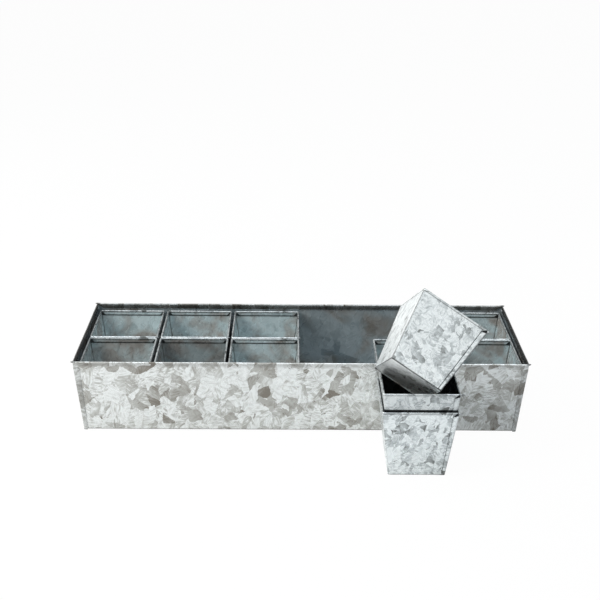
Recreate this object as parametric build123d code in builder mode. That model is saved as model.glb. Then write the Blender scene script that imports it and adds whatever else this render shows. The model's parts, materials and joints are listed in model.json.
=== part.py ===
from build123d import *
from math import asin, atan, cos, degrees, hypot, sin, tan
import os

# Galvanised herb planter: a long tapered tray that holds two rows of square lift-out pots.
# Three of the pots stand in front of it: two nested, and one tipped into the upper one's mouth.
# Millimetres. +X runs along the tray, +Y to its back, +Z up; the origin is under its middle.

# Sheet metal
sheet = 0.5

# Pots
pot_rim = 75.0              # outside, across the folded rim
pot_base = 57.0             # outside, at the foot
pot_height = 74.5
pot_hem_gap = 0.9           # space inside the folded rim
pot_hem_depth = 5.0         # how far the fold comes down inside
pot_lap_top = 5.5           # width of the corner lap below the rim
pot_lap_foot = 3.5          # width of the corner lap at the foot
pot_lap_drop = 3.0          # the lap stops this far below the rim
pot_ear = 1.0               # end of the front rim fold, past the lapped corner
pan_recess = 0.6            # base panel above the sleeve's lower edge
pan_edge = 3.0              # turned-up edge of the base panel
pan_fit = 0.05              # solder gap between the base panel and the sleeve

# Places in the tray, from its left end
places = {
    "front": ["pot", "pot", "pot", "empty", "pot", "pot"],
    "rear": ["pot", "pot", "pot", "empty", "empty", "pot"],
}
column_gap = 3.2            # between the rims of neighbours in a row
row_gap = 1.2               # between the rims of the two rows
end_gap = 2.1               # from the last rim to the folded end of the tray
side_gap = 1.5              # from a row's rims to the folded side of the tray

# Tray
tray_height = 82.5
tray_taper = 6.2            # how far each wall comes in from rim to base
tray_hem_gap = 0.9
tray_hem_depth = 6.0
tray_lap_top = 6.0          # the ends' laps on the long walls
tray_lap_foot = 4.0
tray_lap_drop = 7.0
tray_ear = 1.8              # ends of the long rim folds, past the end panels
ear_length = 4.0            # stretch of each fold that is pinched round
ear_room = 0.3              # between an end panel's fold and the long folds
end_tab = 6.0               # base turned up inside each end panel
tab_room = 0.3

# Pots in front of the tray
stack_x = 115.0
stack_gap = 15.9            # from the tray's rim to the standing pot's rim
nest_room = 0.3             # between the nested pot and the mouth that it sits in
tip_heading = 49.0          # way that the tipped pot's mouth points, from +X towards +Y
tip_tilt = 51.6             # its lean from upright
tip_spin = -47.6            # its turn about its own axis
tip_room = 0.1

# Sizes that follow
columns = len(places["front"])
pot_hem = 2 * sheet + pot_hem_gap
tray_hem = 2 * sheet + tray_hem_gap
tray_length = columns * pot_rim + (columns - 1) * column_gap + 2 * (end_gap + tray_hem)
tray_width = 2 * pot_rim + row_gap + 2 * (side_gap + tray_hem)

os.makedirs("parts", exist_ok=True)


def wall_lean(rim_half, foot_half, height, hem):
    # Angle of a wall from upright, from its foot to the outside of its round rim fold
    radius = hem / 2
    run = rim_half - radius - foot_half
    rise = height - radius
    return atan(run / rise) + asin(radius / hypot(run, rise))


pot_lean = wall_lean(pot_rim / 2, pot_base / 2, pot_height, pot_hem)
side_lean = wall_lean(tray_width / 2, tray_width / 2 - tray_taper, tray_height, tray_hem)
end_lean = wall_lean(tray_length / 2, tray_length / 2 - tray_taper, tray_height, tray_hem)


def fold_centre(rim_half, height, hem, outward):
    # Middle of a wall's round rim fold
    return outward * (rim_half - hem / 2) + Vector(0, 0, height - hem / 2)


def wall_normal(outward, lean):
    # Square to the outside of a wall that leans outwards on the way up
    return outward * cos(lean) - Vector(0, 0, sin(lean))


def hemmed_section(across, slant, hem, depth):
    # Section of a wall: up the outside, round over the rim and down again inside
    outer = hem / 2
    inner = outer - sheet
    with BuildSketch(across) as section:
        with BuildLine():
            Line((outer, -slant), (outer, 0))
            ThreePointArc((outer, 0), (0, outer), (-outer, 0))
            Polyline((-outer, 0), (-outer, outer - depth), (-inner, outer - depth), (-inner, 0))
            ThreePointArc((-inner, 0), (0, inner), (inner, 0))
            Polyline((inner, 0), (inner, -slant), (outer, -slant))
        make_face()
    return section.sketch


def mitre_cut(face, half, hem, depth):
    # What is cut from both ends of an inner fold, so that folds meet at a corner without crossing
    with BuildSketch(face.offset(-hem)) as cut:
        with BuildLine():
            Polyline((half, 0), (half + hem, 0), (half + hem, -depth), (half - depth, -depth), (half, 0))
        make_face()
        mirror(about=Plane.YZ)
    return cut.sketch


def lap_strip(face, foot_edge, top_edge, foot_width, top_width, foot, top):
    # Strip along one slanting edge of a wall, drawn on the wall's outside
    with BuildSketch(face) as strip:
        with BuildLine():
            Polyline(
                (foot_edge - foot_width, foot),
                (foot_edge, foot),
                (top_edge, top),
                (top_edge - top_width, top),
                (foot_edge - foot_width, foot),
            )
        make_face()
    return strip.sketch


# One pot wall, mitred at both corners
front = Vector(0, -1, 0)
pot_normal = wall_normal(front, pot_lean)
pot_fold = fold_centre(pot_rim / 2, pot_height, pot_hem, front)
pot_across = Plane(origin=pot_fold, x_dir=pot_normal, z_dir=(-1, 0, 0))
pot_face = Plane(origin=pot_fold + pot_normal * pot_hem / 2, x_dir=(1, 0, 0), z_dir=pot_normal)
fold_half = pot_rim / 2 - pot_hem

with BuildPart() as pot_wall:
    extrude(hemmed_section(pot_across, pot_height, pot_hem, pot_hem_depth), amount=pot_rim / 2, both=True)
    extrude(
        mitre_cut(pot_face, fold_half, pot_hem, pot_hem_depth),
        amount=sheet + pot_hem_gap / 2,
        mode=Mode.SUBTRACT,
    )
    split(bisect_by=Plane(origin=(0, 0, 0), z_dir=(1, 1, 0)), keep=Keep.BOTTOM)
    split(bisect_by=Plane(origin=(0, 0, 0), z_dir=(-1, 1, 0)), keep=Keep.BOTTOM)
    split(bisect_by=Plane.XY, keep=Keep.TOP)


def pot_half(height):
    # Half the pot's outside width at a height
    return pot_base / 2 + height * tan(pot_lean)


def up_pot_face(height):
    # A height, measured up the pot's front face
    return (height - pot_face.origin.Z) / cos(pot_lean)


# Pot sleeve: four walls, lapped at the front right corner
lap_top = pot_height - pot_lap_drop
pot_lap = lap_strip(
    pot_face,
    pot_half(0),
    pot_half(lap_top),
    pot_lap_foot,
    pot_lap_top,
    up_pot_face(0),
    up_pot_face(lap_top),
)

with BuildPart() as pot_sleeve:
    with PolarLocations(0, 4):
        add(pot_wall.part)
    extrude(pot_lap, amount=sheet)
    with BuildSketch(Plane.YZ.offset(pot_rim / 2 + pot_ear)):
        with Locations((pot_fold.Y, pot_fold.Z)):
            Circle(pot_hem / 2)
    extrude(amount=-ear_length)
    split(bisect_by=Plane.XY, keep=Keep.TOP)

# Pot base: a panel with its edges turned up inside the sleeve
wall_across = sheet / cos(pot_lean)
pan_foot = pot_half(pan_recess) - wall_across - pan_fit
pan_floor = pot_half(pan_recess + sheet) - 2 * wall_across - pan_fit

with BuildPart() as pot_pan:
    with BuildSketch(Plane.XY.offset(pan_recess)):
        Rectangle(2 * pan_foot, 2 * pan_foot)
    extrude(amount=pan_edge, taper=-degrees(pot_lean))
    with BuildSketch(Plane.XY.offset(pan_recess + sheet)):
        Rectangle(2 * pan_floor, 2 * pan_floor)
    extrude(amount=pan_edge - sheet, taper=-degrees(pot_lean), mode=Mode.SUBTRACT)

# Tray trough: base and both long walls from one sheet
right = Vector(1, 0, 0)
side_normal = wall_normal(front, side_lean)
side_fold = fold_centre(tray_width / 2, tray_height, tray_hem, front)
side_across = Plane(origin=side_fold, x_dir=side_normal, z_dir=(-1, 0, 0))
side_face = Plane(origin=side_fold + side_normal * tray_hem / 2, x_dir=(1, 0, 0), z_dir=side_normal)
end_normal = wall_normal(right, end_lean)
end_fold = fold_centre(tray_length / 2, tray_height, tray_hem, right)
end_across = Plane(origin=end_fold, x_dir=end_normal, z_dir=(0, -1, 0))
end_face = Plane(origin=end_fold + end_normal * tray_hem / 2, x_dir=(0, 1, 0), z_dir=end_normal)
end_inside = end_face.offset(-sheet)
base_half = tray_width / 2 - tray_taper
tab_half = base_half - sheet / cos(side_lean) - tab_room

with BuildPart() as long_wall:
    extrude(
        hemmed_section(side_across, tray_height, tray_hem, tray_hem_depth),
        amount=tray_length / 2,
        both=True,
    )
    extrude(
        mitre_cut(side_face, tray_length / 2 - tray_hem, tray_hem, tray_hem_depth),
        amount=sheet + tray_hem_gap / 2,
        mode=Mode.SUBTRACT,
    )

with BuildPart() as half_trough:
    with PolarLocations(0, 2):
        add(long_wall.part)
    with BuildSketch(Plane.XY):
        Rectangle(tray_length, 2 * base_half)
    extrude(amount=sheet)
    split(bisect_by=end_inside, keep=Keep.BOTTOM)
    with BuildSketch(end_inside):
        with Locations((0, (end_tab - end_inside.origin.Z) / cos(end_lean))):
            Rectangle(2 * tab_half, end_tab + sheet, align=(Align.CENTER, Align.MAX))
    extrude(amount=-sheet)
    with BuildSketch(Plane.YZ.offset(tray_length / 2 + tray_ear)):
        with Locations((side_fold.Y, side_fold.Z), (-side_fold.Y, side_fold.Z)):
            Circle(tray_hem / 2)
    extrude(amount=-ear_length)
    split(bisect_by=Plane.XY, keep=Keep.TOP)
    split(bisect_by=Plane.YZ, keep=Keep.TOP)

with BuildPart() as tray_trough:
    add(half_trough.part)
    mirror(about=Plane.YZ)


def side_half(height):
    # Half the tray's outside width at a height, without the laps
    return base_half + height * tan(side_lean)


def end_half(height):
    # Half the tray's outside length at a height
    return tray_length / 2 - tray_taper + height * tan(end_lean)


def up_side_face(height):
    # A height, measured up the tray's front face
    return (height - side_face.origin.Z) / cos(side_lean)


def up_end_face(height):
    # A height, measured up the tray's right end
    return (height - end_face.origin.Z) / cos(end_lean)


# Tray end: a panel with a folded rim, wrapped round both corners onto the long walls
tray_lap_height = tray_height - tray_lap_drop
wrap = sheet / cos(side_lean)
end_fold_half = tray_width / 2 - tray_hem - ear_room
tray_lap = lap_strip(
    side_face,
    end_half(0),
    end_half(tray_lap_height),
    tray_lap_foot,
    tray_lap_top,
    up_side_face(0),
    up_side_face(tray_lap_height),
)

with BuildPart() as end_wall:
    extrude(
        hemmed_section(end_across, tray_height, tray_hem, tray_hem_depth),
        amount=end_fold_half,
        both=True,
    )
    extrude(
        mitre_cut(end_face, end_fold_half, tray_hem, tray_hem_depth),
        amount=sheet + tray_hem_gap / 2,
        mode=Mode.SUBTRACT,
    )

with BuildPart() as half_end:
    add(end_wall.part)
    with BuildSketch(end_face):
        with BuildLine():
            Polyline(
                (-side_half(0) - wrap, up_end_face(0)),
                (0, up_end_face(0)),
                (0, up_end_face(tray_lap_height)),
                (-side_half(tray_lap_height) - wrap, up_end_face(tray_lap_height)),
                (-side_half(0) - wrap, up_end_face(0)),
            )
        make_face()
    extrude(amount=-sheet)
    extrude(tray_lap, amount=sheet)
    split(bisect_by=Plane.XY, keep=Keep.TOP)
    split(bisect_by=Plane(origin=(0, 0, 0), z_dir=front), keep=Keep.TOP)

with BuildPart() as tray_right_end:
    add(half_end.part)
    mirror(about=Plane.XZ)

with BuildPart() as tray_left_end:
    with Locations(Rot(0, 0, 180)):
        add(tray_right_end.part)

for panel, name in (
    (tray_trough, "tray_trough"),
    (tray_left_end, "tray_left_end"),
    (tray_right_end, "tray_right_end"),
):
    panel.part.label = name
    export_step(panel.part, f"parts/{name}.step")

# Where each pot sits
column_pitch = pot_rim + column_gap
row_pitch = pot_rim + row_gap
pot_seats = {}
for row, side in (("front", -1), ("rear", 1)):
    for column, held in enumerate(places[row], start=1):
        if held == "pot":
            x = (column - (columns + 1) / 2) * column_pitch
            pot_seats[f"{row}_pot_{column}"] = Location((x, side * row_pitch / 2, sheet))

# The nested pot stops where its walls, with the corner lap on one of them, meet the lower pot's fold
stack_y = -(tray_width / 2 + stack_gap + pot_rim / 2)
nested_y = stack_y + sheet / 2
nest_rise = (pot_hem + sheet / 2 + nest_room / cos(pot_lean)) / tan(pot_lean)
pot_seats["standing_pot"] = Location((stack_x, stack_y, 0))
pot_seats["nested_pot"] = Location((stack_x, nested_y, nest_rise))

# The tipped pot's lowest corner dips into the nested pot's mouth until the three edges that meet there
# reach the mouth's sides
tip_turn = Rot(0, 0, tip_heading) * Rot(0, tip_tilt, 0) * Rot(0, 0, tip_spin)
tip_axes = Plane(tip_turn)
edge_left = tip_axes.x_dir * -1
edge_front = tip_axes.y_dir * -1
corner_out = tip_axes.x_dir + tip_axes.y_dir
edge_up = corner_out * tan(pot_lean) + tip_axes.z_dir
left_run = edge_left.X / edge_left.Z
front_run = edge_front.Y / edge_front.Z
reach = max(edge_up.X / edge_up.Z - left_run, edge_up.Y / edge_up.Z - front_run)
mouth_half = pot_rim / 2 - pot_hem - tip_room
dip = 2 * mouth_half / reach
low_corner = Vector(
    stack_x - mouth_half - dip * left_run,
    nested_y - mouth_half - dip * front_run,
    nest_rise + pot_height - dip,
)
pot_seats["leaning_pot"] = Location(low_corner - corner_out * pot_base / 2) * tip_turn

for name, seat in pot_seats.items():
    for piece, shape in (("sleeve", pot_sleeve.part), ("base", pot_pan.part)):
        placed = shape.moved(seat)
        placed.label = f"{name}_{piece}"
        export_step(placed, f"parts/{placed.label}.step")

print(f"tray {tray_length:.1f} x {tray_width:.1f}, nest rise {nest_rise:.2f}, dip {dip:.2f}")
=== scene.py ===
# Galvanised herb planter: a tapered tray with nine square pots in it and three more in front.
# Every piece is folded zinc-coated sheet. Metres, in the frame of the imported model.
import json
from math import asin, atan, cos, hypot, pi, radians, sin, tan

import bmesh
import bpy
from mathutils import Euler, Matrix, Vector

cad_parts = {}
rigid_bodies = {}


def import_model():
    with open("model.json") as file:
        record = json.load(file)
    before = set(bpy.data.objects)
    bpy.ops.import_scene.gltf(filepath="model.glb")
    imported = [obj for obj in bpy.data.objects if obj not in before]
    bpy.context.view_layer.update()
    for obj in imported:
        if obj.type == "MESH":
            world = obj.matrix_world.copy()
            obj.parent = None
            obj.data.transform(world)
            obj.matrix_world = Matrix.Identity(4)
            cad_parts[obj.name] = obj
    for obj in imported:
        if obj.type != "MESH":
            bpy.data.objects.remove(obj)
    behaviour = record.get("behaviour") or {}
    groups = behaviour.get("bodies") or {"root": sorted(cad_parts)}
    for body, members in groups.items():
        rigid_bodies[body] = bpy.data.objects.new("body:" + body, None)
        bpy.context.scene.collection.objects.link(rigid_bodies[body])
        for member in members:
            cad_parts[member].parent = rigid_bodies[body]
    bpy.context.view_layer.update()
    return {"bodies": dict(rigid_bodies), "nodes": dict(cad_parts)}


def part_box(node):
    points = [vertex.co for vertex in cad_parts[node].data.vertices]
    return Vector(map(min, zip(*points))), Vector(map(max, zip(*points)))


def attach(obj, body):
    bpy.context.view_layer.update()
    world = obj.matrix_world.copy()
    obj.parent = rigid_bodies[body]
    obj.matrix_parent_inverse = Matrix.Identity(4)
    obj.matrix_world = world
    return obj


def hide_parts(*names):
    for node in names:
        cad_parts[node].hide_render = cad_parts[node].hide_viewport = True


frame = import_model()
mm = 0.001
metal = {
    "sheet": 0.5 * mm,
    "fold": 1.9 * mm,                # outside radius of an upright fold
    "roll": (radians(-20), radians(200)),   # a rolled rim runs between these angles, over its top
    "rollProud": 0.12 * mm,          # and stands this far off its wall
    "neck": 1.6 * mm,                # the flat wall ends this far below the middle of the roll
    "stub": 1.2 * mm,                # the roll runs unbroken to this far below its middle
    "stubOver": 0.1 * mm,            # and covers the top of the hem by this much
    "hemPress": 0.40 * mm,           # below the roll, the hem is pressed back this far
    "groove": 0.25 * mm,             # sunk line along the free edge of a lap
    "grooveWide": 0.8 * mm,
    "grooveFloor": (0.7, 0.3),       # shares of its width between which it is deepest
    "footLine": (0.6 * mm, 1.4 * mm),   # painted shade along a foot is full at the first height, gone at the second
    "rollSteps": 9,                  # mesh steps round a roll
    "foldSteps": 5,                  # mesh steps round an upright fold
    "least": 0.1 * mm,               # gap left below or above a next mesh row, and least radius of a fold
    "weld": 0.001 * mm,
    "sharpOver": radians(40),
}


def toLinear(hexColour):
    channels = [int(hexColour[start:start + 2], 16) / 255 for start in (1, 3, 5)]
    linear = [c / 12.92 if c <= 0.04045 else ((c + 0.055) / 1.055) ** 2.4 for c in channels]
    return (*linear, 1.0)


def addNode(tree, kind, settings=None, links=None):
    # settings are a node's own properties or values of its inputs
    node = tree.nodes.new(kind)
    for name, value in (settings or {}).items():
        if isinstance(name, str) and hasattr(node, name):
            setattr(node, name, value)
        else:
            node.inputs[name].default_value = value
    for name, source in (links or {}).items():
        output = getattr(source, "outputs", [source])[0]   # a node gives its first output
        tree.links.new(output, node.inputs[name])
    return node


# Hot-dip galvanised steel: the zinc freezes into pale and grey crystals that lie across each other like
# leaves, feathered by fine streaks that run another way in each. Insides are duller and take a darker, cool
# colour, painted shade and reflection, with brown stains; the pots' undersides are chalky and painted paler
# to one side as a painted highlight; and a dark colour is painted where two sheets meet, along folds, rims,
# hems and feet, and where one part sits in another: painted shade.
# Crystals, from the lowest layer up: (width, length for width, turn, share of cells, how dark).
traySteel = {
    "name": "hotDipGalvanisedTray",
    "pale": "#E0E3E2", "middle": "#B6B7B3", "dark": "#7C776F", "paintedShade": "#211E1A",
    "cool": "#7F929B", "brown": "#5F574F", "stain": 45 * mm, "chalkAndHighlight": "#E4E4E1",
    "crystals": (
        (16 * mm, 2.2, (-0.52, 0.77, 0.0), 1.0, 0.60),
        (19 * mm, 1.9, (0.58, 1.33, 0.0), 0.60, 0.72),
        (11 * mm, 2.6, (-0.41, -0.79, 0.0), 0.40, 0.45),
        (8 * mm, 2.4, (0.35, 0.45, 0.0), 0.30, 0.20),
    ),
    "shade": 1.5, "streak": 1.6 * mm, "feather": 1.7, "ragged": 5 * mm, "raggedSize": 8 * mm,
    "shift": (0.13, 0.37, 0.66),
}
potSteel = {
    "name": "hotDipGalvanisedPots",
    "pale": "#ECF1F1", "middle": "#C3C9CA", "dark": "#747775", "paintedShade": "#17191A",
    "cool": "#C1D4D8", "brown": "#918880", "stain": 32 * mm, "chalkAndHighlight": "#ECEEED",
    "crystals": (
        (8 * mm, 2.2, (-0.52, 0.77, 0.0), 1.0, 0.50),
        (8 * mm, 2.0, (0.58, 1.33, 0.0), 0.30, 1.00),
        (6 * mm, 2.6, (-0.41, -0.79, 0.0), 0.40, 0.40),
        (5 * mm, 2.4, (0.35, 0.45, 0.0), 0.30, 0.20),
    ),
    "shade": 2.2, "streak": 1.3 * mm, "feather": 2.0, "ragged": 3.5 * mm, "raggedSize": 6 * mm,
    "shift": (0.59, 0.95, 0.11),
}
# what both coatings share
zinc = {
    "paleShare": 0.45,                # this share of the crystals stays pale
    "keptEdge": 0.01,                 # how gradually cells change from left out to kept
    "streakLong": 5.0,                # streaks are this much longer than wide
    "streakLevel": 0.43,              # noise above this darkens a streak
    "featherLeast": 0.5,
    "stops": (0.0, 0.28, 0.90),       # darkness at which the pale, middle and dark colours stand
    "stained": (0.44, 0.62),          # noise between which a stain begins and is full
    "lining": 0.7,                    # share of the inside colour, painted shade and reflection with brown stains, on an inside face
    "rough": (0.20, 0.36), "chalkRough": 0.8,
    "metallic": (0.75, 0.35),         # outside and inside
    "relief": 0.06, "reliefDeep": 0.2 * mm,
}


def crystalLayer(tree, look, torn, layer, below):
    # stretched and turned cells, of which the kept ones cover the layers below
    width, longer, turn, share, darkest = layer
    laid = addNode(
        tree, "ShaderNodeMapping",
        {"vector_type": "TEXTURE", "Rotation": turn, "Scale": (width, width, width * longer)},
        {"Vector": torn},
    )
    cells = addNode(tree, "ShaderNodeTexVoronoi", {"Scale": 1.0}, {"Vector": laid})
    chance = addNode(tree, "ShaderNodeSeparateColor", links={0: cells.outputs["Color"]}).outputs
    kept = addNode(
        tree, "ShaderNodeMapRange",
        {"From Min": 1 - share - zinc["keptEdge"], "From Max": 1 - share},
        {"Value": chance["Red"]},
    )
    depth = addNode(
        tree, "ShaderNodeMapRange", {"From Min": zinc["paleShare"], "To Max": darkest},
        {"Value": chance["Green"]},
    )
    # each crystal is darker on one side, another one in every cell
    away = addNode(
        tree, "ShaderNodeVectorMath", {"operation": "SUBTRACT"}, {0: laid, 1: cells.outputs["Position"]}
    )
    side = addNode(
        tree, "ShaderNodeVectorMath", {"operation": "SUBTRACT", 1: (0.5, 0.5, 0.5)},
        {0: cells.outputs["Color"]},
    )
    along = addNode(tree, "ShaderNodeVectorMath", {"operation": "DOT_PRODUCT"}, {0: away, 1: side})
    shade = addNode(
        tree, "ShaderNodeMath", {"operation": "MULTIPLY_ADD", 1: look["shade"], 2: 1.0},
        {0: along.outputs["Value"]},
    )
    shaded = addNode(
        tree, "ShaderNodeMath", {"operation": "MULTIPLY", "use_clamp": True}, {0: depth, 1: shade}
    )
    covered = {2: below} if below else {}
    tone = addNode(tree, "ShaderNodeMix", {"data_type": "FLOAT"}, {0: kept, 3: shaded, **covered})
    return tone, cells.outputs["Color"], chance


def featherTone(tree, look, moved, tone, cellColour, chance):
    # thin leaves of zinc, seen on edge as streaks, turned another way in every crystal
    turned = addNode(tree, "ShaderNodeVectorMath", {"operation": "SCALE", "Scale": 2 * pi}, {0: cellColour})
    grain = addNode(
        tree, "ShaderNodeVectorRotate", {"rotation_type": "EULER_XYZ"},
        {"Vector": moved, "Rotation": turned},
    )
    squeeze = 1 / zinc["streakLong"]
    stretched = addNode(tree, "ShaderNodeMapping", {"Scale": (1.0, squeeze, squeeze)}, {"Vector": grain})
    streaks = addNode(
        tree, "ShaderNodeTexNoise", {"Scale": 1 / look["streak"], "Detail": 3.0, "Roughness": 0.6},
        {"Vector": stretched},
    )
    feather = addNode(
        tree, "ShaderNodeMath", {"operation": "SUBTRACT", 1: zinc["streakLevel"]}, {0: streaks}
    )
    depth = addNode(
        tree, "ShaderNodeMapRange", {"To Min": zinc["featherLeast"], "To Max": look["feather"]},
        {"Value": chance["Green"]},
    )
    return addNode(
        tree, "ShaderNodeMath", {"operation": "MULTIPLY_ADD"}, {0: feather, 1: depth, 2: tone}
    )


def liningColour(tree, look, moved):
    # insides: a cool colour, painted shade and reflection, with brown stains
    stain = addNode(
        tree, "ShaderNodeTexNoise", {"Scale": 1 / look["stain"], "Detail": 3.0, "Distortion": 0.8},
        {"Vector": moved},
    )
    begins, full = zinc["stained"]
    stained = addNode(
        tree, "ShaderNodeMapRange", {"From Min": begins, "From Max": full}, {"Value": stain}
    )
    return addNode(
        tree, "ShaderNodeMix",
        {"data_type": "RGBA", 6: toLinear(look["cool"]), 7: toLinear(look["brown"])}, {0: stained},
    ).outputs[2]


def galvanised(look):
    material = bpy.data.materials.new(look["name"])
    material.use_nodes = True
    tree = material.node_tree
    tree.nodes.clear()
    place = addNode(tree, "ShaderNodeTexCoord").outputs["Object"]
    moved = addNode(tree, "ShaderNodeMapping", {"Location": look["shift"]}, {"Vector": place})
    # ragged crystal edges: the cells are looked up at places pushed about by noise
    push = addNode(
        tree, "ShaderNodeTexNoise", {"Scale": 1 / look["raggedSize"], "Detail": 4.0, "Roughness": 0.6},
        {"Vector": moved},
    )
    centred = addNode(
        tree, "ShaderNodeVectorMath", {"operation": "SUBTRACT", 1: (0.5, 0.5, 0.5)},
        {0: push.outputs["Color"]},
    )
    torn = addNode(
        tree, "ShaderNodeVectorMath", {"operation": "MULTIPLY_ADD", 1: (look["ragged"],) * 3},
        {0: centred, 2: moved},
    )
    tone = None
    for layer in look["crystals"]:
        tone, cellColour, chance = crystalLayer(tree, look, torn, layer, tone)
    feathered = featherTone(tree, look, moved, tone, cellColour, chance)
    ramp = addNode(tree, "ShaderNodeValToRGB", links={0: feathered})
    stops = ramp.color_ramp.elements
    stops.new(zinc["stops"][1])
    for stop, position, colour in zip(stops, zinc["stops"], ("pale", "middle", "dark")):
        stop.position = position
        stop.color = toLinear(look[colour])
    # the marks on each piece: inside faces, chalk with a painted highlight, and painted shade
    inner, chalkAndHighlight, paintedShade = [
        addNode(tree, "ShaderNodeAttribute", {"attribute_name": mark}).outputs["Fac"]
        for mark in ("inner", "chalkAndHighlight", "paintedShade")
    ]
    # inside faces take the darker, cool inside colour: painted shade and reflection
    paintedDark = addNode(tree, "ShaderNodeMath", {"operation": "MULTIPLY", 1: zinc["lining"]}, {0: inner})
    lined = addNode(
        tree, "ShaderNodeMix", {"data_type": "RGBA"}, {0: paintedDark, 6: ramp, 7: liningColour(tree, look, moved)}
    ).outputs[2]
    chalkedAndLit = addNode(
        tree, "ShaderNodeMix", {"data_type": "RGBA", 7: toLinear(look["chalkAndHighlight"])}, {0: chalkAndHighlight, 6: lined}
    ).outputs[2]
    # painted shade: the dark colour laid along laps, folds, rims, hems and feet, and where a pot sits in
    # another
    darkened = addNode(
        tree, "ShaderNodeMix", {"data_type": "RGBA", 7: toLinear(look["paintedShade"])}, {0: paintedShade, 6: chalkedAndLit}
    ).outputs[2]
    smooth, rough = zinc["rough"]
    gloss = addNode(
        tree, "ShaderNodeMapRange", {"To Min": smooth, "To Max": rough}, {"Value": chance["Blue"]}
    )
    matt = addNode(
        tree, "ShaderNodeMix", {"data_type": "FLOAT", 3: zinc["chalkRough"]}, {0: chalkAndHighlight, 2: gloss}
    )
    outside, inside = zinc["metallic"]
    bright = addNode(tree, "ShaderNodeMapRange", {"To Min": outside, "To Max": inside}, {"Value": inner})
    bare = addNode(tree, "ShaderNodeMix", {"data_type": "FLOAT", 3: 0.0}, {0: chalkAndHighlight, 2: bright})
    relief = addNode(
        tree, "ShaderNodeBump", {"Strength": zinc["relief"], "Distance": zinc["reliefDeep"]},
        {"Height": feathered},
    )
    steel = addNode(
        tree, "ShaderNodeBsdfPrincipled",
        links={"Base Color": darkened, "Metallic": bare, "Roughness": matt, "Normal": relief},
    )
    addNode(tree, "ShaderNodeOutputMaterial", links={"Surface": steel})
    return material


steels = {"tray_steel": galvanised(traySteel), "pot_steel": galvanised(potSteel)}
print("materials made:", [steel.name for steel in steels.values()])


# Folded sheet as meshes. A grid is rows of (place, painted shade): rows follow the sheet up a wall and over
# its rim, columns run to the right as seen from outside.
def newShell():
    return {"places": [], "paintedShade": [], "inner": [], "chalkAndHighlight": [], "faces": []}


def addSheet(shell, outside, inside, around=False, pole=False, hidden=(0.0, 1.0), chalkyAndLit=None):
    # hidden says how far each of the two faces is an inside one
    # the last argument gives how chalky the outside is at a place: chalk, and a painted highlight
    rows, columns = len(outside), len(outside[0])
    first = len(shell["places"])
    faces = shell["faces"]
    for grid, inner in zip((outside, inside), hidden):
        for row in grid:
            shell["places"] += [place for place, paintedShade in row]
            shell["paintedShade"] += [paintedShade for place, paintedShade in row]
            shell["inner"] += [inner] * columns
            shell["chalkAndHighlight"] += [chalkyAndLit(place) if chalkyAndLit and grid is outside else 0.0 for place, paintedShade in row]

    def at(side, row, column):
        return first + (side * rows + row) * columns + column % columns

    top = rows - 1
    for column in range(columns if around else columns - 1):
        after = column + 1
        for row in range(top):
            above = row + 1
            faces.append((at(0, row, column), at(0, row, after), at(0, above, after), at(0, above, column)))
            faces.append((at(1, row, column), at(1, above, column), at(1, above, after), at(1, row, after)))
        faces.append((at(0, top, column), at(0, top, after), at(1, top, after), at(1, top, column)))
        if not pole:
            faces.append((at(0, 0, after), at(0, 0, column), at(1, 0, column), at(1, 0, after)))
    if not around:
        end = columns - 1
        for row in range(top):
            faces.append((at(0, row, 0), at(0, row + 1, 0), at(1, row + 1, 0), at(1, row, 0)))
            faces.append((at(0, row + 1, end), at(0, row, end), at(1, row, end), at(1, row + 1, end)))


def shellMesh(name, shell):
    mesh = bpy.data.meshes.new(name)
    mesh.from_pydata(shell["places"], [], shell["faces"])
    for mark in ("paintedShade", "inner", "chalkAndHighlight"):
        mesh.attributes.new(mark, "FLOAT", "POINT").data.foreach_set("value", shell[mark])
    welded = bmesh.new()
    welded.from_mesh(mesh)
    bmesh.ops.remove_doubles(welded, verts=welded.verts, dist=metal["weld"])
    welded.to_mesh(mesh)
    welded.free()
    return mesh


def spread(start, end, count):
    return [start + (end - start) * step / (count - 1) for step in range(count)]


def fade(value, start, end):
    return min(max((value - start) / (end - start), 0.0), 1.0)


# painted shade along a foot
def footShade(height, mark):
    return mark * (1 - fade(height, *metal["footLine"]))


# A leaning wall with a rolled rim, seen in section: half widths and heights.
def wallShape(rimHalf, footHalf, height, hem, hemDepth):
    roll = hem / 2
    run, rise = rimHalf - roll - footHalf, height - roll
    lean = atan(run / rise) + asin(roll / hypot(run, rise))
    return {
        "lean": lean, "foot": footHalf, "roll": roll, "hemDepth": hemDepth,
        "middle": (rimHalf - roll, height - roll),   # of the roll
        "through": metal["sheet"] / cos(lean),       # the sheet, measured level
    }


def halfAt(wall, height):
    return wall["foot"] + height * tan(wall["lean"])


def sectionPoint(wall, out, up):
    # out from the middle of the roll, square to the wall, and up along it
    lean, (half, height) = wall["lean"], wall["middle"]
    return half + out * cos(lean) + up * sin(lean), height - out * sin(lean) + up * cos(lean)


def rolledRim(wall):
    # pairs of outside and inside points, from the neck below the rim to the stub of the hem
    sheet, proud = metal["sheet"], metal["rollProud"]
    roll = wall["roll"] + proud
    pairs = [((wall["roll"], -metal["neck"]), (wall["roll"] - sheet, -metal["neck"]))]
    for angle in spread(*metal["roll"], metal["rollSteps"] + 1):
        way = (cos(angle), sin(angle))
        pairs.append(tuple((radius * way[0], radius * way[1] - proud) for radius in (roll, roll - sheet)))
    pairs.append(hemPair(wall, metal["stub"]))
    return [(sectionPoint(wall, *outer), sectionPoint(wall, *inner)) for outer, inner in pairs]


def hemPair(wall, drop):
    pressed = metal["hemPress"] - wall["roll"]
    return (pressed, -drop), (pressed + metal["sheet"], -drop)


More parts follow.
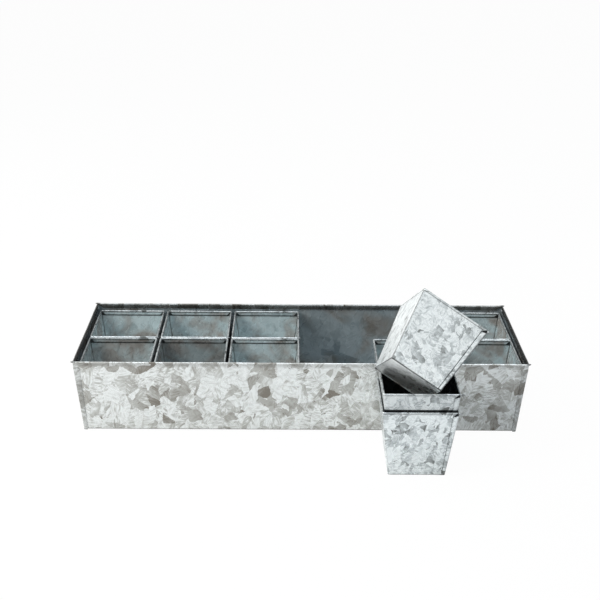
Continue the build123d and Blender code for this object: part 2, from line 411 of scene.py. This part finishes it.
def hemRows(wall, count):
    # the pressed hem below the stub, with how far each row is below the middle of the roll
    rows = []
    for drop in spread(metal["stub"] - metal["stubOver"], wall["hemDepth"] - wall["roll"], count):
        outer, inner = hemPair(wall, drop)
        rows.append((sectionPoint(wall, *outer), sectionPoint(wall, *inner), drop))
    return rows


# A pinched end of a roll, drawn out to a blunt tip: (share of its length, share of its radius)
earShape = ((0.0, 0.0), (0.0, 0.95), (0.45, 1.0), (0.7, 0.85), (0.9, 0.55), (1.0, 0.2), (1.0, 0.0))
earSides = 12


def addEar(shell, start, tip, radius, mark):
    # painted shade: as dark as mark says, and darker towards the tip
    length = tip - start
    side = length.orthogonal().normalized()
    other = length.normalized().cross(side)
    first = len(shell["places"])
    for along, size in earShape:
        for step in range(earSides):
            angle = 2 * pi * step / earSides
            out = (side * cos(angle) + other * sin(angle)) * radius * size
            shell["places"].append(start + length * along + out)
            shell["paintedShade"].append(mark + (1 - mark) * mark * along)
            shell["inner"].append(0.0)
            shell["chalkAndHighlight"].append(0.0)
    for row in range(len(earShape) - 1):
        low = first + row * earSides
        high = low + earSides
        for step in range(earSides):
            after = (step + 1) % earSides
            shell["faces"].append((low + step, low + after, high + after, high + step))


# Pots: a sleeve of four walls, lapped at the front right corner, round a base panel with turned-up edges.
pot = {
    "foot": 57 * mm, "hem": 1.9 * mm, "hemDepth": 5 * mm,
    "hemShadow": (1.9 * mm, 1.3 * mm),   # the wall turns dark between these heights below the hem's edge
    "wallTop": 2.5 * mm,                 # the wall's even rows end this far below it
    "lapTop": 5.5 * mm, "lapFoot": 3.5 * mm, "lapDrop": 2.5 * mm, "lapColumns": 8,
    "open": (4.4 * mm, 1.7 * mm),        # the corner stands open along a slanting line: how far below
    "openWide": (0.9 * mm, 4.0 * mm),    # the rim it starts and ends, and how wide it is there
    "ear": 1.0 * mm, "earLong": 4.0 * mm,
    "earTip": 0.8 * mm,                  # the pinched tip runs on this far
    "recess": 0.6 * mm, "panEdge": 3.0 * mm, "panFit": 0.05 * mm, "panFold": 1.0 * mm,
    "panCorner": 0.06,                   # share of the base panel's half width that its corners cut off
    "dish": 0.7 * mm,                    # the base panel is pressed up this far in its middle
    "columns": 22, "rows": 14, "hemRows": 6, "rimRows": 10,
    "panRings": 9, "panFoldSteps": 5, "panColumns": 14,
}
# painted shade: how dark each line on a pot is; and how chalky its left wall, also a painted highlight
potMarks = {
    "lap": 0.4, "open": 1.0, "corner": 0.9, "fold": 0.2, "foot": 0.5, "sits": 0.95, "ear": 0.5,
    "neck": 0.3, "rollOut": 0.4, "rollTop": 0.3, "rollIn": 0.5,
    "crease": 0.7, "hemTop": 0.2, "hem": 0.0, "hemEdge": 0.4, "wall": 0.95,
    "inside": 0.0, "outside": 0.0, "chalkAndHighlight": 0.0,
}
# what sets single pots apart: painted shade on faces, rims, hems, laps and folds, a chalky wall that is
# also a painted highlight, ears
potTraits = {
    "rear_pot_2": {"hem": 0.2},
    "rear_pot_3": {"hem": 0.25},
    "front_pot_1": {"inside": 0.12, "hem": 0.35},
    "front_pot_2": {"inside": 0.4, "hem": 0.4},
    "standing_pot": {"rollOut": 0.45, "rollTop": 0.35, "earTip": 2.4 * mm},
    "nested_pot": {"inside": 0.95, "outside": 0.2, "rollOut": 0.45, "rollTop": 0.2, "earTip": 2.4 * mm},
    "leaning_pot": {
        "lap": 0.95, "fold": 0.9, "foot": 0.9, "neck": 0.8, "rollOut": 0.1, "rollTop": 0.05,
        "chalkAndHighlight": 0.25, "ear": 0.1, "earTip": 0.0,
    },
}
# painted shadow: a black line on a nested pot where it sits in the lower one's rim, with painted shade
# fading out above it
sitShadow = {
    "starts": (-1.3 * mm, -1.2 * mm), "ends": (2.1 * mm, 2.3 * mm),   # each between two mesh rows
    "softShade": 0.4, "softShadeEnds": 7 * mm,
}
# underside of the base panel: chalky and painted paler to the left, most in front, a painted highlight, and
# darker at the back left, painted shade
panMarks = {
    "chalkAndHighlight": 0.3, "chalkHighlightFront": 0.6, "chalkHighlightAcross": (20 * mm, -26 * mm), "chalkHighlightAlong": (6 * mm, -26 * mm),
    "softShade": 0.5, "shadeAcross": (10 * mm, -24 * mm), "shadeAlong": (-22 * mm, 5 * mm),
}
low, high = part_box("standing_pot_sleeve")
pot["rim"] = high.x - low.x - pot["ear"]
pot["height"] = high.z - low.z
potWall = wallShape(pot["rim"] / 2, pot["foot"] / 2, pot["height"], pot["hem"], pot["hemDepth"])


def potRing(half, height, front=None, mark=0.0, cornerMark=0.0):
    # once round the pot, front wall first; front gives that wall's columns as (along, out, painted shade)
    radius = max(metal["fold"] - (halfAt(potWall, height) - half), metal["least"])
    straight = half - radius
    plain = [(x, 0.0, mark) for x in spread(-straight, straight, pot["columns"])]
    ring = []
    for side in range(4):
        turn = Matrix.Rotation(side * pi / 2, 3, "Z")
        wall = front(half, straight, height, mark) if front and side == 0 else plain
        ring += [(turn @ Vector((x, -half - out, height)), paintedShade) for x, out, paintedShade in wall]
        lastOut, lastShade = wall[-1][1:]
        for step in range(1, metal["foldSteps"]):
            angle = pi / 2 * step / metal["foldSteps"]
            x = straight + radius * sin(angle)
            y = -straight - (radius + lastOut) * cos(angle)
            # a fold is painted darkest in its middle: painted shade
            line = cornerMark * sin(2 * angle) ** 2
            ring.append((turn @ Vector((x, y, height)), max(lastShade * cos(angle), mark, line)))
    return ring


def lapColumns(half, straight, height, mark, lapMark):
    # the front wall, a sunk line, the lap that covers the rest of it, and the open line below the ear; the
    # sunk line and the open line are painted dark, painted shade
    top = pot["height"] - pot["lapDrop"]
    width = pot["lapFoot"] + (pot["lapTop"] - pot["lapFoot"]) * min(height / top, 1.0)
    edge, wide = half - width, metal["grooveWide"]
    plainColumns = pot["columns"] - pot["lapColumns"] - len(metal["grooveFloor"])
    columns = [(x, 0.0, mark) for x in spread(-straight, edge - wide, plainColumns)]
    for share in metal["grooveFloor"]:
        if height > top:
            columns.append((edge - wide * share, 0.0, mark))
        else:
            columns.append((edge - wide * share, -metal["groove"], max(lapMark, mark)))
    count = pot["lapColumns"]
    below, room = spread(*pot["open"], count), spread(*pot["openWide"], count)
    for step, x in enumerate(spread(edge, straight, count)):
        if abs(pot["height"] - below[step] - height) < room[step] / 2:
            columns.append((x, 0.0, potMarks["open"]))
        else:
            columns.append((x, metal["sheet"] if height <= top else 0.0, mark))
    return columns


def sleeveShade(marks, height, sits):
    # painted shade: how dark the outside is painted all round at a height
    dark = footShade(height, marks["foot"])
    if sits and height > sits + sum(sitShadow["starts"]) / 2:
        if height < sits + sum(sitShadow["ends"]) / 2:
            dark = marks["sits"]
        else:
            dark = sitShadow["softShade"] * (1 - fade(height, sits, sits + sitShadow["softShadeEnds"]))
    return max(dark, marks["outside"])


def sleeveShell(marks, sits=None):
    # sits is the height at which the pot rests in another one's rim
    shell = newShell()
    rim = rolledRim(potWall)
    neck = rim[0][0][1]
    hemEnd = pot["height"] - pot["hemDepth"]
    lit, dark = [hemEnd - drop for drop in pot["hemShadow"]]
    footTop, wallFoot = metal["footLine"]
    heights = [0.0, footTop] + spread(wallFoot, hemEnd - pot["wallTop"], pot["rows"])
    heights += [lit] + spread(dark, neck - metal["least"], pot["rimRows"])
    if sits:
        heights = sorted(heights + [sits + rise for rise in sitShadow["starts"] + sitShadow["ends"]])

    def front(half, straight, height, mark):
        return lapColumns(half, straight, height, mark, marks["lap"])

    def rimFront(half, straight, height, mark):
        columns = lapColumns(half, straight, height, mark, mark)
        return [(x, 0.0, paintedShade) for x, out, paintedShade in columns]

    # the left wall is chalky as far as the marks say: chalk, and a painted highlight on the lit side
    def chalkyAndLit(place):
        leftWall = place.x < -halfAt(potWall, place.z) + metal["fold"] / 2
        return marks["chalkAndHighlight"] if leftWall else 0.0

    outside, inside = [], []
    for height in heights:
        half = halfAt(potWall, height)
        # painted shadow on the inside wall just below the hem's edge, and painted shade on a dark inside
        behind = max(marks["wall"] * fade(height, lit, dark), marks["inside"])
        outside.append(potRing(half, height, front, sleeveShade(marks, height, sits), marks["fold"]))
        inside.append(potRing(
            half - potWall["through"], height, mark=behind, cornerMark=marks["corner"],
        ))
    # the roll: its outside, three rows over its top, its inside and the crease where it meets the hem, each
    # painted darker as painted shade
    outRows = (len(rim) - 2) // 2 - 2
    rimMarks = [marks["neck"]] + [marks["rollOut"]] * outRows + [marks["rollTop"]] * 3
    rimMarks += [marks["rollIn"]] * (len(rim) - len(rimMarks) - 1)
    rimMarks.append(max(marks["crease"], marks["inside"]))
    for index, ((outer, inner), mark) in enumerate(zip(rim, rimMarks)):
        outside.append(potRing(*outer, rimFront if index < len(rim) // 2 else None, mark))
        inside.append(potRing(*inner))
    addSheet(shell, outside, inside, around=True, chalkyAndLit=chalkyAndLit)
    addPotHems(shell, marks)
    half, height = potWall["middle"]
    end = pot["rim"] / 2 + pot["ear"]
    tip = Vector((end + marks.get("earTip", pot["earTip"]), -half, height))
    addEar(shell, Vector((end - pot["earLong"], -half, height)), tip, potWall["roll"], marks["ear"])
    return shell


def addPotHems(shell, marks):
    # one to a wall, mitred so that they miss each other in the corners, and painted darker as painted shade
    mitre = pot["rim"] / 2 - pot["hem"]
    rows = hemRows(potWall, pot["hemRows"])
    hemMarks = [marks["crease"], marks["hemTop"]] + [marks["hem"]] * (len(rows) - 3) + [marks["hemEdge"]]
    for side in range(4):
        turn = Matrix.Rotation(side * pi / 2, 3, "Z")
        grids = ([], [])
        for (outer, inner, drop), mark in zip(rows, hemMarks):
            across = spread(drop - mitre, mitre - drop, pot["columns"])
            dark = max(mark, marks["inside"])
            for grid, (half, height) in zip(grids, (outer, inner)):
                grid.append([(turn @ Vector((x, -half, height)), dark) for x in across])
        addSheet(shell, *grids, hidden=(1.0, 1.0))


def panShell():
    shell = newShell()
    sheet, fold, recess = metal["sheet"], pot["panFold"], pot["recess"]
    edge = halfAt(potWall, recess) - potWall["through"] - pot["panFit"]
    flat = edge - fold
    pairs = []
    for share in spread(0, 1, pot["panRings"]):
        rise = recess + pot["dish"] * (1 - share ** 2)
        pairs.append(((flat * share, rise), (flat * share, rise + sheet)))
    for angle in spread(-pi / 2, -potWall["lean"], pot["panFoldSteps"])[1:]:
        out, up = cos(angle), sin(angle)
        pairs.append(tuple(
            (flat + radius * out, recess + fold + radius * up) for radius in (fold, fold - sheet)
        ))
    climb = recess + pot["panEdge"] - pairs[-1][0][1]
    run = climb * tan(potWall["lean"])
    pairs.append(tuple((half + run, height + climb) for half, height in pairs[-1]))
    grids = ([], [])
    for pair in pairs:
        for grid, (half, height) in zip(grids, pair):
            grid.append(panRing(half, height))
    addSheet(shell, *grids, around=True, pole=True, chalkyAndLit=panChalkAndHighlight)
    return shell


def panRing(half, height):
    reach = half - pot["panCorner"] * half
    ring = []
    for side in range(4):
        turn = Matrix.Rotation(side * pi / 2, 3, "Z")
        places = [turn @ Vector((x, -half, height)) for x in spread(-reach, reach, pot["panColumns"])]
        ring += [(place, panShade(place)) for place in places]
    return ring


# chalky and paler to one side and most in front: chalk, and a painted highlight
def panChalkAndHighlight(place):
    inFront = panMarks["chalkHighlightFront"] * fade(place.y, *panMarks["chalkHighlightAlong"])
    return fade(place.x, *panMarks["chalkHighlightAcross"]) * (panMarks["chalkAndHighlight"] + inFront)


# darker towards one corner: painted shade
def panShade(place):
    across, along = fade(place.x, *panMarks["shadeAcross"]), fade(place.y, *panMarks["shadeAlong"])
    return panMarks["softShade"] * along * across


# Tray: base and long walls from one sheet, and two end panels wrapped round onto the long walls.
tray = {
    "taper": 6.2 * mm, "hem": 1.9 * mm, "hemDepth": 6 * mm,
    "lapTop": 6 * mm, "lapFoot": 4 * mm, "lapDrop": 7 * mm, "lapLift": 0.05 * mm,
    "ear": 1.8 * mm, "earLong": 5 * mm, "earRise": 0.6 * mm,
    "earRoom": 0.3 * mm,           # between an end panel's rim and the long walls' rims
    "baseFold": 2.0 * mm,
    "tab": 6 * mm,                 # the base is turned up this far inside each end panel
    "tabRoom": 1.5 * mm,
    "wallFoot": 0.5 * mm,          # the walls' rows start this far above the base fold
    "endFlat": 4 * mm,             # an end panel is flat to this far below its rim
    "columns": 84, "endColumns": 26, "rows": 16, "hemRows": 5, "baseRows": 7, "foldRows": 6,
    "tabRows": 4, "lapColumns": 4, "endFlatRows": 3,
}
# painted shade: how dark each line on the tray is; its laps are painted soft grey, and its rim dark except
# along the front
trayMarks = {
    "lap": 0.25, "neck": 0.3, "foot": 0.6, "frontRim": 0.15, "backRim": 0.45, "endRim": 0.7,
    "endHem": 1.0, "hem": 0.8, "ear": 0.7,
}
low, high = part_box("tray_trough")
tray["length"] = high.x - low.x - 2 * tray["ear"]
tray["width"] = high.y - low.y
tray["height"] = high.z - low.z
tray["lapEnd"] = tray["height"] - tray["lapDrop"]
sideWall, endWall = [
    wallShape(across / 2, across / 2 - tray["taper"], tray["height"], tray["hem"], tray["hemDepth"])
    for across in (tray["width"], tray["length"])
]


def lapWidth(height):
    return tray["lapFoot"] + (tray["lapTop"] - tray["lapFoot"]) * fade(height, 0.0, tray["lapEnd"])


def troughRow(half, height, reach, grooved=False, mark=0.0):
    # along the tray from left to right, with a sunk line beside each end panel's lap, painted darker as
    # painted shade
    wide = metal["grooveWide"]
    edge = reach + endWall["through"] - lapWidth(height)
    groove, line = (metal["groove"], trayMarks["lap"]) if grooved else (0.0, 0.0)
    right = [(edge - wide / 2, -groove, max(mark, line))]
    right += [(x, 0.0, mark) for x in (edge, (edge + reach) / 2, reach)]
    plainColumns = tray["columns"] - 2 * len(right)
    middle = [(x, 0.0, mark) for x in spread(wide - edge, edge - wide, plainColumns)]
    row = [(-x, out, paintedShade) for x, out, paintedShade in reversed(right)] + middle + right
    return [(Vector((x, -half - out, height)), paintedShade) for x, out, paintedShade in row]


def troughSection():
    # half the section, from the middle of the base to the front rim: (outer, inner, is a lapped wall, mark)
    sheet, fold, lean = metal["sheet"], tray["baseFold"], sideWall["lean"]
    foldMiddle = halfAt(sideWall, fold) - fold / cos(lean)
    section = [
        ((half, 0.0), (half, sheet), False, 0.0) for half in spread(0, foldMiddle, tray["baseRows"])[:-1]
    ]
    for step, angle in enumerate(spread(-pi / 2, -lean, tray["foldRows"])):
        out, up = cos(angle), sin(angle)
        outer, inner = [(foldMiddle + radius * out, fold + radius * up) for radius in (fold, fold - sheet)]
        onFold = 0 < step < tray["foldRows"] - 1
        # the base fold is painted dark: painted shade
        section.append((outer, inner, True, trayMarks["foot"] if onFold else 0.0))
    wallFoot = section[-1][0][1] + tray["wallFoot"]
    heights = spread(wallFoot, tray["lapEnd"], tray["rows"])
    for height in heights + [tray["lapEnd"] + metal["least"]]:
        half = halfAt(sideWall, height)
        lapped = height <= tray["lapEnd"]
        section.append(((half, height), (half - sideWall["through"], height), lapped, 0.0))
    rim = rolledRim(sideWall)
    # the rim is painted darker at its neck and a little along the front: painted shade
    rimMarks = [trayMarks["neck"]] + [trayMarks["frontRim"]] * (len(rim) - 1)
    rimStart = len(section) + 1
    section += [(*pair, False, mark) for pair, mark in zip(rim, rimMarks)]
    return section, rimStart


def troughShell():
    shell = newShell()
    section, rimStart = troughSection()
    rows = []
    for outer, inner, lapped, mark in section:
        reach = min(halfAt(endWall, max(outer[1], 0.0)) - endWall["through"], tray["length"] / 2)
        rows.append((troughRow(*outer, reach, lapped, mark), troughRow(*inner, reach)))
    mitre = tray["length"] / 2 - tray["hem"]
    for outer, inner, drop in hemRows(sideWall, tray["hemRows"])[1:]:
        rows.append(tuple(
            troughRow(*point, mitre - drop, mark=trayMarks["hem"]) for point in (outer, inner)
        ))
    # the back is the front, mirrored, with its rim painted darker as painted shade
    # rows go from the back hem, under the base, to the front hem
    grids = ([], [])
    for side, grid in enumerate(grids):
        for index in range(len(rows) - 1, 0, -1):
            paintedDark = trayMarks["backRim"] if index >= rimStart else 0.0
            grid.append([(Vector((p.x, -p.y, p.z)), max(paintedShade, paintedDark)) for p, paintedShade in rows[index][side]])
        grid += [row[side] for row in rows]
    addSheet(shell, *grids)
    for end in (-1, 1):
        addTrayEars(shell, end)
        addEndTab(shell, end)
    return shell


def addTrayEars(shell, end):
    half, height = sideWall["middle"]
    reach = tray["length"] / 2 + tray["ear"]
    for side in (-1, 1):
        tip = Vector((end * reach, side * half, height + tray["earRise"]))
        start = Vector((end * (reach - tray["earLong"]), side * half, height))
        # the ears are painted dark: painted shade
        addEar(shell, start, tip, sideWall["roll"] + metal["rollProud"], trayMarks["ear"])


def addEndTab(shell, end):
    turn = Matrix.Rotation(0 if end > 0 else pi, 3, "Z")
    reach = halfAt(sideWall, 0) - tray["tabRoom"]
    grids = ([], [])
    for height in spread(metal["sheet"], tray["tab"], tray["tabRows"]):
        for grid, layers in zip(grids, (1, 2)):
            x = halfAt(endWall, height) - layers * endWall["through"]
            across = spread(-reach, reach, tray["endColumns"])
            grid.append([(turn @ Vector((x, y, height)), 0.0) for y in across])
    addSheet(shell, *grids)


def endShell(end):
    shell = newShell()
    turn = Matrix.Rotation(0 if end == "right" else pi, 3, "Z")
    addSheet(shell, *[
        [endRow(turn, height, layer) for height in endHeights()] for layer in (0, 1)
    ])
    # the rolled rim between the long walls' rolls
    reach = tray["width"] / 2 - tray["hem"] - tray["earRoom"]
    rows = []
    for height in spread(tray["lapEnd"], tray["height"] - tray["endFlat"], tray["endFlatRows"]):
        half = halfAt(endWall, height)
        rows.append((((half, height), (half - endWall["through"], height)), reach, 0.0))
    rim = rolledRim(endWall)
    for index, pair in enumerate(rim):
        # the end panel's rim and hem are painted dark: painted shade
        rows.append((pair, reach, trayMarks["endRim" if index < len(rim) // 2 else "endHem"]))
    for outer, inner, drop in hemRows(endWall, tray["hemRows"])[1:]:
        rows.append(((outer, inner), reach - drop, trayMarks["endHem"]))
    grids = ([], [])
    for pair, rowReach, mark in rows:
        across = spread(-rowReach, rowReach, tray["endColumns"])
        for grid, (out, height) in zip(grids, pair):
            grid.append([(turn @ Vector((out, y, height)), mark) for y in across])
    addSheet(shell, *grids)
    return shell


def endHeights():
    footTop, wallFoot = metal["footLine"]
    return [0.0, footTop] + spread(wallFoot, tray["lapEnd"], tray["rows"])


def endRow(turn, height, layer):
    # lap, corner, panel, corner, lap; layer is 0 outside and 1 inside
    radius = metal["fold"] - layer * metal["sheet"]
    out = halfAt(endWall, height) - layer * endWall["through"]
    half = halfAt(sideWall, height) + tray["lapLift"] + (1 - layer) * sideWall["through"]
    free = halfAt(endWall, height) - lapWidth(height)
    # the laps and their corners are painted soft grey and the foot dark: painted shade
    foot = footShade(height, trayMarks["foot"])
    lapShade = max(trayMarks["lap"], foot)
    path = [(x, -half, lapShade) for x in spread(free, out - radius, tray["lapColumns"])[:-1]]
    for angle in spread(-pi / 2, 0, metal["foldSteps"] + 1):
        x, y = out - radius + radius * cos(angle), radius - half + radius * sin(angle)
        path.append((x, y, lapShade))
    path += [(out, y, foot) for y in spread(radius - half, 0, tray["endColumns"] // 2)[1:]]
    path += [(x, -y, mark) for x, y, mark in reversed(path[:-1])]
    return [(turn @ Vector((x, y, height)), mark) for x, y, mark in path]


# Geometry Nodes: thin sheet is never quite flat, so each piece gets its own slow waves before it is put
# on its seat.
waves = {"depth": 0.5 * mm, "length": 45 * mm}


def wavesTree():
    tree = bpy.data.node_groups.new("sheetWaves", "GeometryNodeTree")
    sockets = {}
    for label, kind in (
        ("Geometry", "NodeSocketGeometry"), ("Seat", "NodeSocketVector"), ("Turn", "NodeSocketVector"),
        ("Wave depth", "NodeSocketFloat"), ("Wave length", "NodeSocketFloat"), ("Seed", "NodeSocketFloat"),
        ("Steel", "NodeSocketMaterial"),
    ):
        sockets[label] = tree.interface.new_socket(label, in_out="INPUT", socket_type=kind).identifier
    tree.interface.new_socket("Geometry", in_out="OUTPUT", socket_type="NodeSocketGeometry")
    given = addNode(tree, "NodeGroupInput").outputs
    where = addNode(tree, "GeometryNodeInputPosition")
    scale = addNode(tree, "ShaderNodeMath", {"operation": "DIVIDE", 0: 1.0}, {1: given["Wave length"]})
    noise = addNode(
        tree, "ShaderNodeTexNoise", {"noise_dimensions": "4D", "Detail": 1.0},
        {"Vector": where, "W": given["Seed"], "Scale": scale},
    )
    centred = addNode(
        tree, "ShaderNodeVectorMath", {"operation": "SUBTRACT", 1: (0.5, 0.5, 0.5)},
        {0: noise.outputs["Color"]},
    )
    offset = addNode(
        tree, "ShaderNodeVectorMath", {"operation": "SCALE"}, {0: centred, "Scale": given["Wave depth"]}
    )
    wavy = addNode(
        tree, "GeometryNodeSetPosition", links={"Geometry": given["Geometry"], "Offset": offset}
    )
    seat = addNode(tree, "GeometryNodePoints", links={"Position": given["Seat"]})
    turn = addNode(tree, "FunctionNodeEulerToRotation", links={0: given["Turn"]})
    seated = addNode(
        tree, "GeometryNodeInstanceOnPoints", links={"Points": seat, "Instance": wavy, "Rotation": turn}
    )
    solid = addNode(tree, "GeometryNodeRealizeInstances", links={"Geometry": seated})
    coated = addNode(
        tree, "GeometryNodeSetMaterial", links={"Geometry": solid, "Material": given["Steel"]}
    )
    addNode(tree, "NodeGroupOutput", links={0: coated})
    return tree, sockets


sheetTree, sheetSockets = wavesTree()


def finishPiece(node, body, slot, mesh, seed, seat=Vector(), turn=Euler()):
    piece = bpy.data.objects.new(node + "_sheet", mesh)
    bpy.context.scene.collection.objects.link(piece)
    modifier = piece.modifiers.new("sheetWaves", "NODES")
    modifier.node_group = sheetTree
    inputs = {
        "Seat": list(seat), "Turn": list(turn), "Wave depth": waves["depth"],
        "Wave length": waves["length"], "Seed": float(seed), "Steel": steels[slot],
    }
    for label, value in inputs.items():
        modifier[sheetSockets[label]] = value
    graph = bpy.context.evaluated_depsgraph_get()
    finished = bpy.data.meshes.new_from_object(
        piece.evaluated_get(graph), preserve_all_data_layers=True, depsgraph=graph
    )
    piece.modifiers.remove(modifier)
    piece.data = finished
    finished.name = piece.name
    finished.shade_smooth()
    finished.set_sharp_from_angle(angle=metal["sharpOver"])
    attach(piece, body)
    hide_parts(node)
    return piece


finishPiece("tray_trough", "tray", "tray_steel", shellMesh("trough", troughShell()), 1)
for seed, end in enumerate(("left", "right"), start=2):
    finishPiece(f"tray_{end}_end", "tray", "tray_steel", shellMesh(end, endShell(end)), seed)
print("tray made:", round(tray["length"] / mm, 1), "x", round(tray["width"] / mm, 1), "mm")

# the tipped pot's mouth points this way, from +X towards +Y; then its lean and its turn about its own axis
tipped = {"heading": radians(49.0), "tilt": radians(51.6), "spin": radians(-47.6)}
tipTurn = (
    Matrix.Rotation(tipped["heading"], 3, "Z")
    @ Matrix.Rotation(tipped["tilt"], 3, "Y")
    @ Matrix.Rotation(tipped["spin"], 3, "Z")
)


def potSeat(name, turn):
    # the pot's origin, under the middle of its base panel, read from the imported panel
    back = turn.transposed()
    corners = [back @ vertex.co for vertex in frame["nodes"][f"{name}_base"].data.vertices]
    lowest = Vector([min(corner[axis] for corner in corners) for axis in range(3)])
    highest = Vector([max(corner[axis] for corner in corners) for axis in range(3)])
    middle = (lowest + highest) / 2
    return turn @ Vector((middle.x, middle.y, lowest.z - pot["recess"]))


potNames = [body for body in frame["bodies"] if body != "tray"]
turns = {name: tipTurn if name == "leaning_pot" else Matrix.Identity(3) for name in potNames}
seats = {name: potSeat(name, turn) for name, turn in turns.items()}
sitsAt = {"nested_pot": pot["height"] - (seats["nested_pot"].z - seats["standing_pot"].z)}
for seed, name in enumerate(potNames, start=10):
    marks = {**potMarks, **potTraits.get(name, {})}
    turn = turns[name].to_euler()
    for part, shell in (("sleeve", sleeveShell(marks, sitsAt.get(name))), ("base", panShell())):
        node = f"{name}_{part}"
        finishPiece(node, name, "pot_steel", shellMesh(node, shell), seed, seats[name], turn)
print("pots made:", len(potNames))

# Stage: a white floor that keeps a faint shadow. Camera rays see it as nearly white; in mirror and glass
# rays it is whitest behind the object and to its left, and falls off to the front and right.
stage = {
    "size": 12.0, "floor": "#F2F2F2", "below": 0.05 * mm,
    "seenWhite": 0.97, "mirroredWhite": 0.45, "whiteSlope": (-0.54, 1.6, 0.0),
}


def mirrorRays(tree, ray):
    return addNode(
        tree, "ShaderNodeMath", {"operation": "MAXIMUM"},
        {0: ray["Is Glossy Ray"], 1: ray["Is Transmission Ray"]},
    )


def whiteFloor():
    half = stage["size"] / 2
    corners = [(-half, -half, 0), (half, -half, 0), (half, half, 0), (-half, half, 0)]
    mesh = bpy.data.meshes.new("floor")
    mesh.from_pydata(corners, [], [(0, 1, 2, 3)])
    material = bpy.data.materials.new("whitePaperFloor")
    material.use_nodes = True
    tree = material.node_tree
    tree.nodes.clear()
    paper = addNode(tree, "ShaderNodeBsdfDiffuse", {"Color": toLinear(stage["floor"])})
    white = addNode(tree, "ShaderNodeEmission", {"Strength": 1.0})
    ray = addNode(tree, "ShaderNodeLightPath").outputs
    place = addNode(tree, "ShaderNodeTexCoord").outputs["Object"]
    slope = addNode(
        tree, "ShaderNodeVectorMath", {"operation": "DOT_PRODUCT", 1: stage["whiteSlope"]}, {0: place}
    )
    local = addNode(
        tree, "ShaderNodeMath", {"operation": "ADD", "use_clamp": True, 1: stage["mirroredWhite"]},
        {0: slope.outputs["Value"]},
    )
    faint = addNode(
        tree, "ShaderNodeMath", {"operation": "MULTIPLY"}, {0: mirrorRays(tree, ray), 1: local}
    )
    share = addNode(
        tree, "ShaderNodeMath", {"operation": "MULTIPLY_ADD", 1: stage["seenWhite"]},
        {0: ray["Is Camera Ray"], 2: faint},
    )
    mixed = addNode(tree, "ShaderNodeMixShader", links={0: share, 1: paper, 2: white})
    addNode(tree, "ShaderNodeOutputMaterial", links={"Surface": mixed})
    mesh.materials.append(material)
    floor = bpy.data.objects.new("floor", mesh)
    floor.location.z = -stage["below"]
    bpy.context.scene.collection.objects.link(floor)


whiteFloor()

# Soft boxes: (place, aim, size, watts, colour)
lamps = {
    "keyBox": ((-1.00, -0.55, 0.95), (0.0, -0.1, 0.0), 0.6, 13.0, "#FFFDF8"),
    "topBox": ((0.0, -0.2, 1.9), (0.0, 0.0, 0.0), 1.6, 21.0, "#EEF6FF"),
    "sideBox": ((-0.9, 0.45, 0.75), (0.1, -0.1, 0.08), 1.3, 6.0, "#FFFFFF"),
}
for name, (place, aim, size, watts, colour) in lamps.items():
    light = bpy.data.lights.new(name, "AREA")
    light.size = size
    light.energy = watts
    light.color = toLinear(colour)[:3]
    lamp = bpy.data.objects.new(name, light)
    lamp.location = place
    lamp.rotation_euler = (Vector(aim) - Vector(place)).to_track_quat("-Z", "Y").to_euler()
    bpy.context.scene.collection.objects.link(lamp)

# The studio: white to the camera; in mirror and glass rays white in front of the object and dim behind it
sky = {
    "colour": "#FCFEFF", "light": 0.22, "seen": 1.0, "dim": "#D4D6D6",
    "towards": (0.0, -0.8, 0.6), "dimToWhite": (-0.4, 0.6),   # from straight behind to straight in front
}


def studioWorld():
    world = bpy.data.worlds.new("studio")
    world.use_nodes = True
    tree = world.node_tree
    tree.nodes.clear()
    way = addNode(tree, "ShaderNodeTexCoord").outputs["Generated"]
    facing = addNode(
        tree, "ShaderNodeVectorMath", {"operation": "DOT_PRODUCT", 1: sky["towards"]}, {0: way}
    )
    dimTo, whiteFrom = sky["dimToWhite"]
    front = addNode(
        tree, "ShaderNodeMapRange", {"From Min": dimTo, "From Max": whiteFrom},
        {"Value": facing.outputs["Value"]},
    )
    room = addNode(
        tree, "ShaderNodeMix",
        {"data_type": "RGBA", 6: toLinear(sky["dim"]), 7: toLinear(sky["colour"])}, {0: front},
    ).outputs[2]
    ray = addNode(tree, "ShaderNodeLightPath").outputs
    light = addNode(
        tree, "ShaderNodeBackground", {"Color": toLinear(sky["colour"]), "Strength": sky["light"]}
    )
    seen = addNode(tree, "ShaderNodeBackground", {"Strength": sky["seen"]}, {"Color": room})
    lit = addNode(tree, "ShaderNodeMixShader", links={0: mirrorRays(tree, ray), 1: light, 2: seen})
    white = addNode(tree, "ShaderNodeBackground", {"Color": (1.0, 1.0, 1.0, 1.0), "Strength": 1.0})
    mixed = addNode(tree, "ShaderNodeMixShader", links={0: ray["Is Camera Ray"], 1: lit, 2: white})
    addNode(tree, "ShaderNodeOutputWorld", links={"Surface": mixed})
    bpy.context.scene.world = world


studioWorld()

# Camera, worked back from the photograph: focal length in pixels of a 600 pixel frame
view = {
    "focal": 1087.7, "frame": 600, "sensor": 36.0,
    "place": (-11.5 * mm, -1092.9 * mm, 576.4 * mm),
    "pitch": radians(22.639), "yaw": radians(-0.542), "roll": radians(0.585),
}
lens = bpy.data.cameras.new("camera")
lens.sensor_width = view["sensor"]
lens.lens = view["focal"] * view["sensor"] / view["frame"]
camera = bpy.data.objects.new("camera", lens)
camera.location = view["place"]
camera.rotation_euler = (
    Matrix.Rotation(view["yaw"], 3, "Z")
    @ Matrix.Rotation(pi / 2 - view["pitch"], 3, "X")
    @ Matrix.Rotation(view["roll"], 3, "Z")
).to_euler()
bpy.context.scene.collection.objects.link(camera)
bpy.context.scene.camera = camera
bpy.context.scene.view_settings.view_transform = "Standard"
print("stage, lamps and camera placed")
